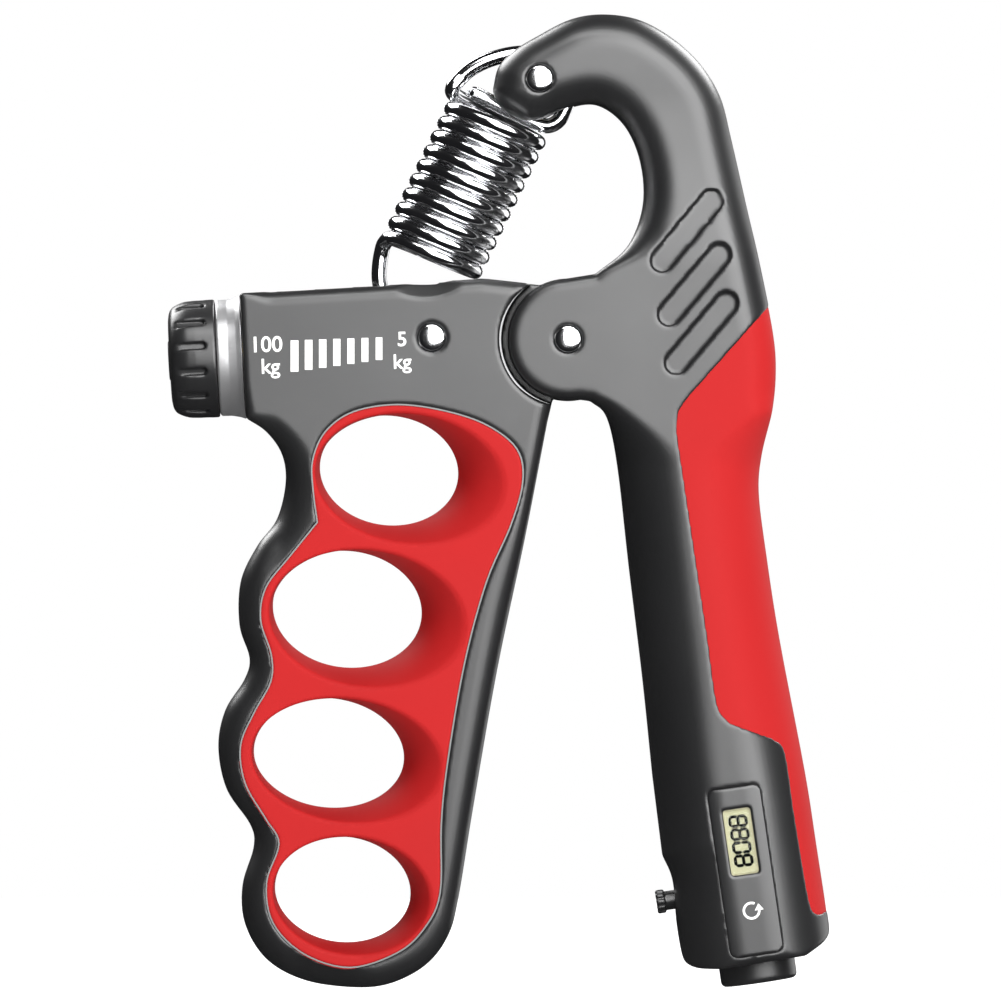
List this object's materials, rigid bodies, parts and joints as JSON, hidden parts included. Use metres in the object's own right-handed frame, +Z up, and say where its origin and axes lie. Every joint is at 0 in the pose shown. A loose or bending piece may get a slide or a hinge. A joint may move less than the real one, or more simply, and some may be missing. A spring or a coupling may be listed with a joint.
{
  "type": "hand dynamometer",
  "caption": "Adjustable hand dynamometer: a finger handle with finger holes and a palm handle on one pivot, a tension spring with a winding knob, and a squeeze counter.",
  "frame": {"origin": "middle of the bounding box's bottom face, under the upright handles", "axes": "+Z up the handles towards the hook, +X from the finger handle towards the palm handle, -Y out of the front face with the display"},
  "size_m": [0.1127, 0.0262, 0.1654],
  "materials": {
    "black_abs": "satin moulded ABS, fine spark texture",
    "black_trim": "smooth black ABS",
    "red_grip": "satin soft-touch thermoplastic rubber",
    "chrome": "polished chrome plate",
    "steel": "zinc-plated steel",
    "brass": "turned brass",
    "nylon": "natural nylon",
    "circuit_board": "green solder mask",
    "lcd": "reflective liquid-crystal cell",
    "lens": "clear window"
  },
  "bodies": {
    "palm_handle": {"palm_shell_front": "black_abs", "palm_shell_back": "black_abs", "palm_grip": "red_grip", "pivot_pin": "chrome", "anchor_pin": "chrome", "pivot_washer_front": "nylon", "pivot_washer_back": "nylon", "palm_screw_1": "steel", "palm_screw_2": "steel", "palm_screw_3": "steel", "palm_screw_4": "steel", "counter_panel": "black_trim", "display_lens": "lens", "lcd_module": "lcd", "counter_board": "circuit_board", "button_cell": "steel", "cell_clip": "steel", "count_switch": "black_trim", "guide_plate": "nylon", "plunger_spring": "steel", "reset_spring": "steel"},
    "finger_handle": {"finger_shell_front": "black_abs", "finger_shell_back": "black_abs", "finger_insert": "red_grip", "barrel_pin": "chrome", "finger_screw_1": "steel", "finger_screw_2": "steel", "finger_screw_3": "steel", "barrel_collar": "chrome", "screw_bush": "brass", "screw_end_block": "steel"},
    "knob": {"adjusting_knob": "black_abs", "lead_screw": "steel", "knob_screw": "steel", "knob_cap": "black_abs"},
    "carriage": {"carriage_nut": "black_trim", "carriage_pin": "steel"},
    "spring_swivel": {"anchor_bush": "nylon"},
    "spring_top": {"spring_upper": "chrome"},
    "spring_mid": {"spring_middle": "chrome"},
    "spring_bottom": {"spring_lower": "chrome"},
    "count_plunger": {"count_plunger": "black_trim"},
    "reset_slider": {"reset_stem": "steel"},
    "reset_knob": {"reset_knob": "black_abs"}
  },
  "joints": [
    {"name": "squeeze", "type": "hinge", "parent": "palm_handle", "child": "finger_handle", "pos_m": [0.0117, 0, 0.11], "axis": [0, -1, 0], "range_deg": [0, 19.5], "stiffness_Nm_per_rad": 5, "springref_deg": -8.59},
    {"name": "adjust_turn", "type": "hinge", "parent": "finger_handle", "child": "knob", "pos_m": [0.0117, 0, 0.11], "axis": [0.9986, 0, 0.0523], "range_deg": [0, 2576]},
    {"name": "carriage_slide", "type": "slide", "parent": "finger_handle", "child": "carriage", "axis": [-0.9986, 0, -0.0523], "range_m": [0, 0.0143]},
    {"name": "spring_swing", "type": "hinge", "parent": "palm_handle", "child": "spring_swivel", "pos_m": [0.0069, 0, 0.1542], "axis": [0, -1, 0], "range_deg": [0, 6.6]},
    {"name": "spring_lean", "type": "hinge", "parent": "spring_swivel", "child": "spring_top", "pos_m": [0.0069, 0, 0.1542], "axis": [0, -1, 0], "range_deg": [-11.4, 0], "deforming": ["spring_upper"]},
    {"name": "spring_squeeze_stretch", "type": "slide", "parent": "spring_top", "child": "spring_mid", "axis": [-0.5312, 0, -0.8472], "range_m": [0, 0.0098], "deforming": ["spring_middle"]},
    {"name": "spring_knob_stretch", "type": "slide", "parent": "spring_mid", "child": "spring_bottom", "axis": [-0.5312, 0, -0.8472], "range_m": [0, 0.0104], "deforming": ["spring_lower"]},
    {"name": "count_press", "type": "slide", "parent": "palm_handle", "child": "count_plunger", "axis": [0.9895, 0, 0.1444], "range_m": [0, 0.0014], "stiffness_N_per_m": 300, "springref_m": -0.002, "deforming": ["plunger_spring"]},
    {"name": "reset_press", "type": "slide", "parent": "palm_handle", "child": "reset_slider", "axis": [-0.1444, 0, 0.9895], "range_m": [0, 0.0015], "stiffness_N_per_m": 500, "springref_m": -0.002, "deforming": ["reset_spring"]},
    {"name": "reset_turn", "type": "hinge", "parent": "reset_slider", "child": "reset_knob", "pos_m": [0.0443, 0, 0.00081], "axis": [-0.1444, 0, 0.9895], "range_deg": [0, 90], "stiffness_Nm_per_rad": 0.01, "springref_deg": -17.19}
  ],
  "couplings": [
    {"joint": "adjust_turn", "follows": "carriage_slide", "rad_per_m": 3141.6},
    {"joint": "spring_swing", "follows": "squeeze", "ratio": 0.32821},
    {"joint": "spring_lean", "follows": "carriage_slide", "rad_per_m": -13.67},
    {"joint": "spring_squeeze_stretch", "follows": "squeeze", "m_per_rad": 0.02806},
    {"joint": "spring_knob_stretch", "follows": "carriage_slide", "ratio": 0.71329}
  ]
}
